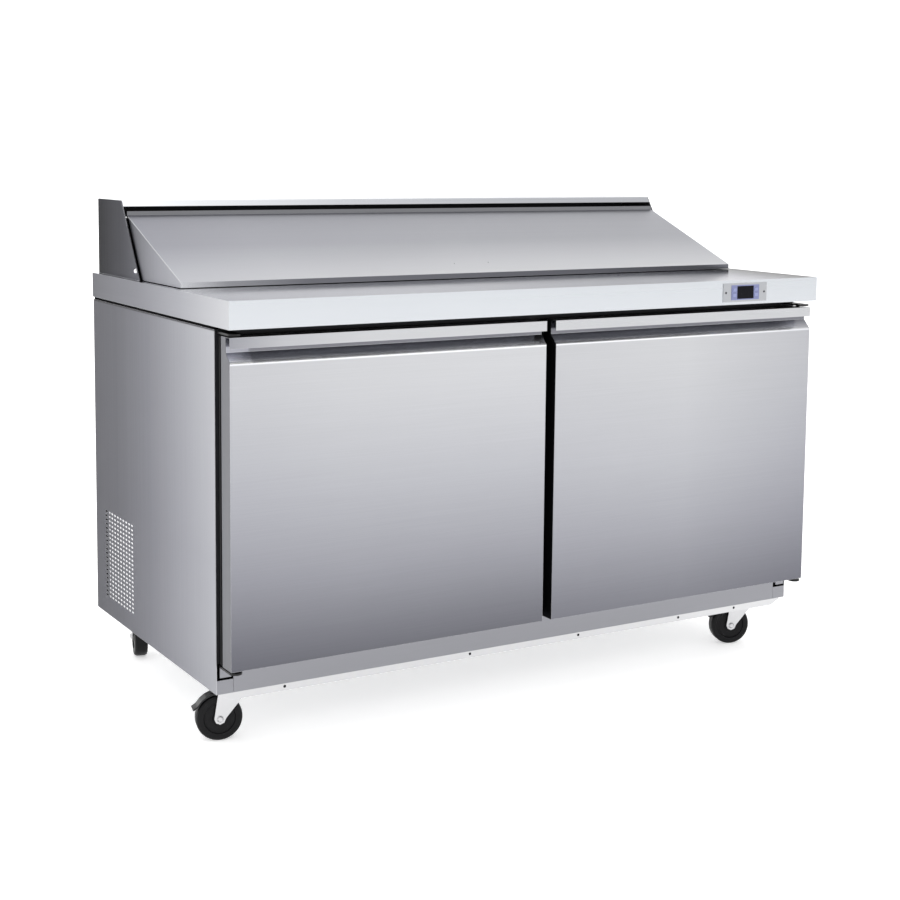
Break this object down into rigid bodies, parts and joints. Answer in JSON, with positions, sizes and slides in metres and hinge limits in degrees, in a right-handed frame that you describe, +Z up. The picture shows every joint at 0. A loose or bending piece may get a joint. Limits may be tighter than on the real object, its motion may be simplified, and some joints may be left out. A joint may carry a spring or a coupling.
{
  "type": "sandwich prep table",
  "caption": "Refrigerated sandwich prep table: stainless cabinet on swivel casters with hinged doors, a worktop, a rear hood and a sloping lid over a food pan opening.",
  "frame": {"origin": "on the floor below the middle of the object's bounding box", "axes": "+X to the right seen from the doors, +Y to the back, +Z up"},
  "size_m": [1.5449, 0.8428, 1.112],
  "materials": {
    "stainless_steel": "satin",
    "bright_steel": "polished",
    "galvanised_steel": "satin",
    "zinc_plate": "satin",
    "rigid_foam": "matte",
    "liner_plastic": "satin",
    "gasket_rubber": "matte",
    "wheel_rubber": "satin",
    "black_paint": "satin",
    "controller_plastic": "satin",
    "key_plastic": "satin",
    "display_plastic": "gloss",
    "nylon": "matte",
    "coil_aluminium": "satin",
    "fan_plastic": "matte"
  },
  "bodies": {
    "cabinet": {"back_panel": "galvanised_steel", "base_pan": "galvanised_steel", "bottom_hinge_brackets": "black_paint", "bottom_rail": "stainless_steel", "cabinet_foam": "rigid_foam", "cabinet_screws": "bright_steel", "caster_channels": "zinc_plate", "caster_plates": "zinc_plate", "compressor": "black_paint", "condenser_coil": "coil_aluminium", "controller_bezel": "galvanised_steel", "controller_housing": "controller_plastic", "cord_gland": "gasket_rubber", "display_window": "display_plastic", "evaporator_coil": "coil_aluminium", "front_frame": "stainless_steel", "hood_cheeks": "stainless_steel", "hood_shell": "stainless_steel", "inner_liner": "bright_steel", "left_side_panel": "stainless_steel", "lid_hinge_rod": "bright_steel", "pan_rails": "stainless_steel", "rail_end_blocks": "stainless_steel", "right_side_panel": "stainless_steel", "top_hinge_brackets": "galvanised_steel", "vent_baffles": "galvanised_steel", "wire_shelves": "bright_steel", "worktop": "stainless_steel"},
    "condenser_fan": {"condenser_fan": "fan_plastic"},
    "evaporator_fan": {"evaporator_fan": "fan_plastic"},
    "front_left_brake": {"front_left_brake_lever": "zinc_plate"},
    "front_left_caster": {"front_left_fork": "zinc_plate"},
    "front_left_wheel": {"front_left_wheel": "wheel_rubber"},
    "front_right_brake": {"front_right_brake_lever": "zinc_plate"},
    "front_right_caster": {"front_right_fork": "zinc_plate"},
    "front_right_wheel": {"front_right_wheel": "wheel_rubber"},
    "left_door": {"left_door_bushes": "nylon", "left_door_foam": "rigid_foam", "left_door_gasket": "gasket_rubber", "left_door_handle": "stainless_steel", "left_door_liner": "liner_plastic", "left_door_skin": "stainless_steel"},
    "left_lower_key": {"left_lower_key": "key_plastic"},
    "left_upper_key": {"left_upper_key": "key_plastic"},
    "lid": {"lid_core": "rigid_foam", "lid_hinge_ears": "stainless_steel", "lid_side_plates": "stainless_steel", "lid_skin": "stainless_steel"},
    "rear_left_caster": {"rear_left_fork": "zinc_plate"},
    "rear_left_wheel": {"rear_left_wheel": "wheel_rubber"},
    "rear_right_caster": {"rear_right_fork": "zinc_plate"},
    "rear_right_wheel": {"rear_right_wheel": "wheel_rubber"},
    "right_door": {"right_door_bushes": "nylon", "right_door_foam": "rigid_foam", "right_door_gasket": "gasket_rubber", "right_door_handle": "stainless_steel", "right_door_liner": "liner_plastic", "right_door_skin": "stainless_steel"},
    "right_lower_key": {"right_lower_key": "key_plastic"},
    "right_upper_key": {"right_upper_key": "key_plastic"}
  },
  "joints": [
    {"name": "left_door_hinge", "type": "hinge", "parent": "cabinet", "child": "left_door", "pos_m": [-0.7445, -0.367, 0.5], "axis": [0, 0, -1], "range_deg": [0, 105], "stiffness_Nm_per_rad": 1.5, "springref_deg": -8.59},
    {"name": "right_door_hinge", "type": "hinge", "parent": "cabinet", "child": "right_door", "pos_m": [0.7445, -0.367, 0.5], "axis": [0, 0, 1], "range_deg": [0, 105], "stiffness_Nm_per_rad": 1.5, "springref_deg": -8.59},
    {"name": "lid_hinge", "type": "hinge", "parent": "cabinet", "child": "lid", "pos_m": [0, 0.222, 1.073], "axis": [-1, 0, 0], "range_deg": [0, 115]},
    {"name": "front_left_swivel", "type": "hinge", "parent": "cabinet", "child": "front_left_caster", "pos_m": [-0.693, -0.25, 0.11], "axis": [0, 0, 1], "continuous": true},
    {"name": "front_left_roll", "type": "hinge", "parent": "front_left_caster", "child": "front_left_wheel", "pos_m": [-0.72217, -0.243, 0.049], "axis": [0.2334, 0.9724, 0], "continuous": true},
    {"name": "front_right_swivel", "type": "hinge", "parent": "cabinet", "child": "front_right_caster", "pos_m": [0.693, -0.25, 0.11], "axis": [0, 0, 1], "continuous": true},
    {"name": "front_right_roll", "type": "hinge", "parent": "front_right_caster", "child": "front_right_wheel", "pos_m": [0.66481, -0.23974, 0.049], "axis": [0.342, 0.9397, 0], "continuous": true},
    {"name": "rear_left_swivel", "type": "hinge", "parent": "cabinet", "child": "rear_left_caster", "pos_m": [-0.677, 0.35, 0.11], "axis": [0, 0, 1], "continuous": true},
    {"name": "rear_left_roll", "type": "hinge", "parent": "rear_left_caster", "child": "rear_left_wheel", "pos_m": [-0.66924, 0.37898, 0.049], "axis": [0.9659, -0.2588, 0], "continuous": true},
    {"name": "rear_right_swivel", "type": "hinge", "parent": "cabinet", "child": "rear_right_caster", "pos_m": [0.677, 0.35, 0.11], "axis": [0, 0, 1], "continuous": true},
    {"name": "rear_right_roll", "type": "hinge", "parent": "rear_right_caster", "child": "rear_right_wheel", "pos_m": [0.68117, 0.37971, 0.049], "axis": [0.9903, -0.1392, 0], "continuous": true},
    {"name": "front_left_brake_pivot", "type": "hinge", "parent": "front_left_caster", "child": "front_left_brake", "pos_m": [-0.72023, -0.24346, 0.1033], "axis": [0.2334, 0.9724, 0], "range_deg": [0, 12]},
    {"name": "front_right_brake_pivot", "type": "hinge", "parent": "front_right_caster", "child": "front_right_brake", "pos_m": [0.66669, -0.24042, 0.1033], "axis": [0.342, 0.9397, 0], "range_deg": [0, 12]},
    {"name": "left_lower_key_press", "type": "slide", "parent": "cabinet", "child": "left_lower_key", "axis": [0, 1, 0], "range_m": [0, 0.0008], "stiffness_N_per_m": 300, "springref_m": -0.0005},
    {"name": "left_upper_key_press", "type": "slide", "parent": "cabinet", "child": "left_upper_key", "axis": [0, 1, 0], "range_m": [0, 0.0008], "stiffness_N_per_m": 300, "springref_m": -0.0005},
    {"name": "right_lower_key_press", "type": "slide", "parent": "cabinet", "child": "right_lower_key", "axis": [0, 1, 0], "range_m": [0, 0.0008], "stiffness_N_per_m": 300, "springref_m": -0.0005},
    {"name": "right_upper_key_press", "type": "slide", "parent": "cabinet", "child": "right_upper_key", "axis": [0, 1, 0], "range_m": [0, 0.0008], "stiffness_N_per_m": 300, "springref_m": -0.0005},
    {"name": "condenser_fan_spin", "type": "hinge", "parent": "cabinet", "child": "condenser_fan", "pos_m": [-0.483, 0.2845, 0.2432], "axis": [1, 0, 0], "continuous": true},
    {"name": "evaporator_fan_spin", "type": "hinge", "parent": "cabinet", "child": "evaporator_fan", "pos_m": [0, 0.27, 0.577], "axis": [0, 1, 0], "continuous": true}
  ]
}
